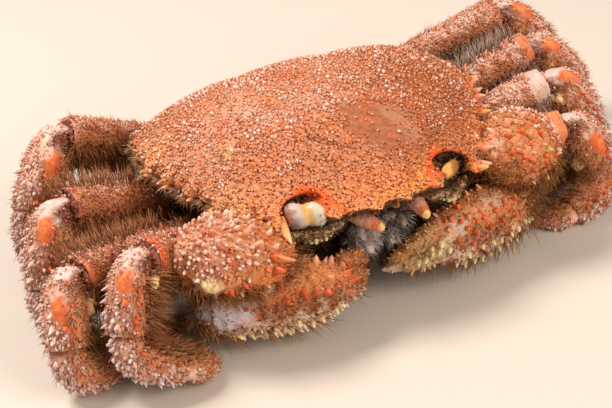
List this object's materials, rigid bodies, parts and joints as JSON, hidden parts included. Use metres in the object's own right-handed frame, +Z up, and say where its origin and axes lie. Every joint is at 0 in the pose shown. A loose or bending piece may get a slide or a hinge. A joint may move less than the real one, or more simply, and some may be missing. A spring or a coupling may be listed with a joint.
{
  "type": "boiled horsehair crab, whole, with folded claws and legs",
  "caption": "Whole boiled horsehair crab at life size, resting on its belly with its claws folded in front and its legs tucked at its sides.",
  "frame": {"origin": "middle of the outer box, on the floor that the crab rests on", "axes": "+Z up from the floor, -Y the way the crab faces, +X towards the crab's own left side"},
  "size_m": [0.2028, 0.1062, 0.0542],
  "materials": {
    "carapace_shell": "rough, granular, semi-matt boiled shell",
    "belly_shell": "smooth semi-matt underside shell",
    "flap_shell": "smooth semi-matt tail flap",
    "cornea": "smooth, wet-looking",
    "feeler_shell": "smooth semi-gloss",
    "mouthpart_shell": "satin, hairy edges",
    "claw_shell": "granular semi-matt boiled shell with spines",
    "leg_shell": "granular matt shell with a short bristly coat"
  },
  "bodies": {
    "root": {"carapace": "carapace_shell", "thorax": "belly_shell", "abdomen": "flap_shell", "eye_right": "cornea", "eye_left": "cornea", "antenna_right": "feeler_shell", "antenna_left": "feeler_shell", "antennule_right": "feeler_shell", "antennule_left": "feeler_shell", "maxilliped_right": "mouthpart_shell", "maxilliped_left": "mouthpart_shell", "claw_merus_right": "claw_shell", "claw_carpus_right": "claw_shell", "claw_palm_right": "claw_shell", "claw_finger_right": "claw_shell", "claw_merus_left": "claw_shell", "claw_carpus_left": "claw_shell", "claw_palm_left": "claw_shell", "claw_finger_left": "claw_shell", "leg_right_1_merus": "leg_shell", "leg_right_1_carpus": "leg_shell", "leg_right_1_propodus": "leg_shell", "leg_right_1_dactyl": "leg_shell", "leg_right_2_merus": "leg_shell", "leg_right_2_carpus": "leg_shell", "leg_right_2_propodus": "leg_shell", "leg_right_2_dactyl": "leg_shell", "leg_right_3_merus": "leg_shell", "leg_right_3_carpus": "leg_shell", "leg_right_3_propodus": "leg_shell", "leg_right_3_dactyl": "leg_shell", "leg_right_4_merus": "leg_shell", "leg_right_4_carpus": "leg_shell", "leg_right_4_propodus": "leg_shell", "leg_right_4_dactyl": "leg_shell", "leg_left_1_merus": "leg_shell", "leg_left_1_carpus": "leg_shell", "leg_left_1_propodus": "leg_shell", "leg_left_1_dactyl": "leg_shell", "leg_left_2_merus": "leg_shell", "leg_left_2_carpus": "leg_shell", "leg_left_2_propodus": "leg_shell", "leg_left_2_dactyl": "leg_shell", "leg_left_3_merus": "leg_shell", "leg_left_3_carpus": "leg_shell", "leg_left_3_propodus": "leg_shell", "leg_left_3_dactyl": "leg_shell", "leg_left_4_merus": "leg_shell", "leg_left_4_carpus": "leg_shell", "leg_left_4_propodus": "leg_shell", "leg_left_4_dactyl": "leg_shell"}
  },
  "joints": []
}
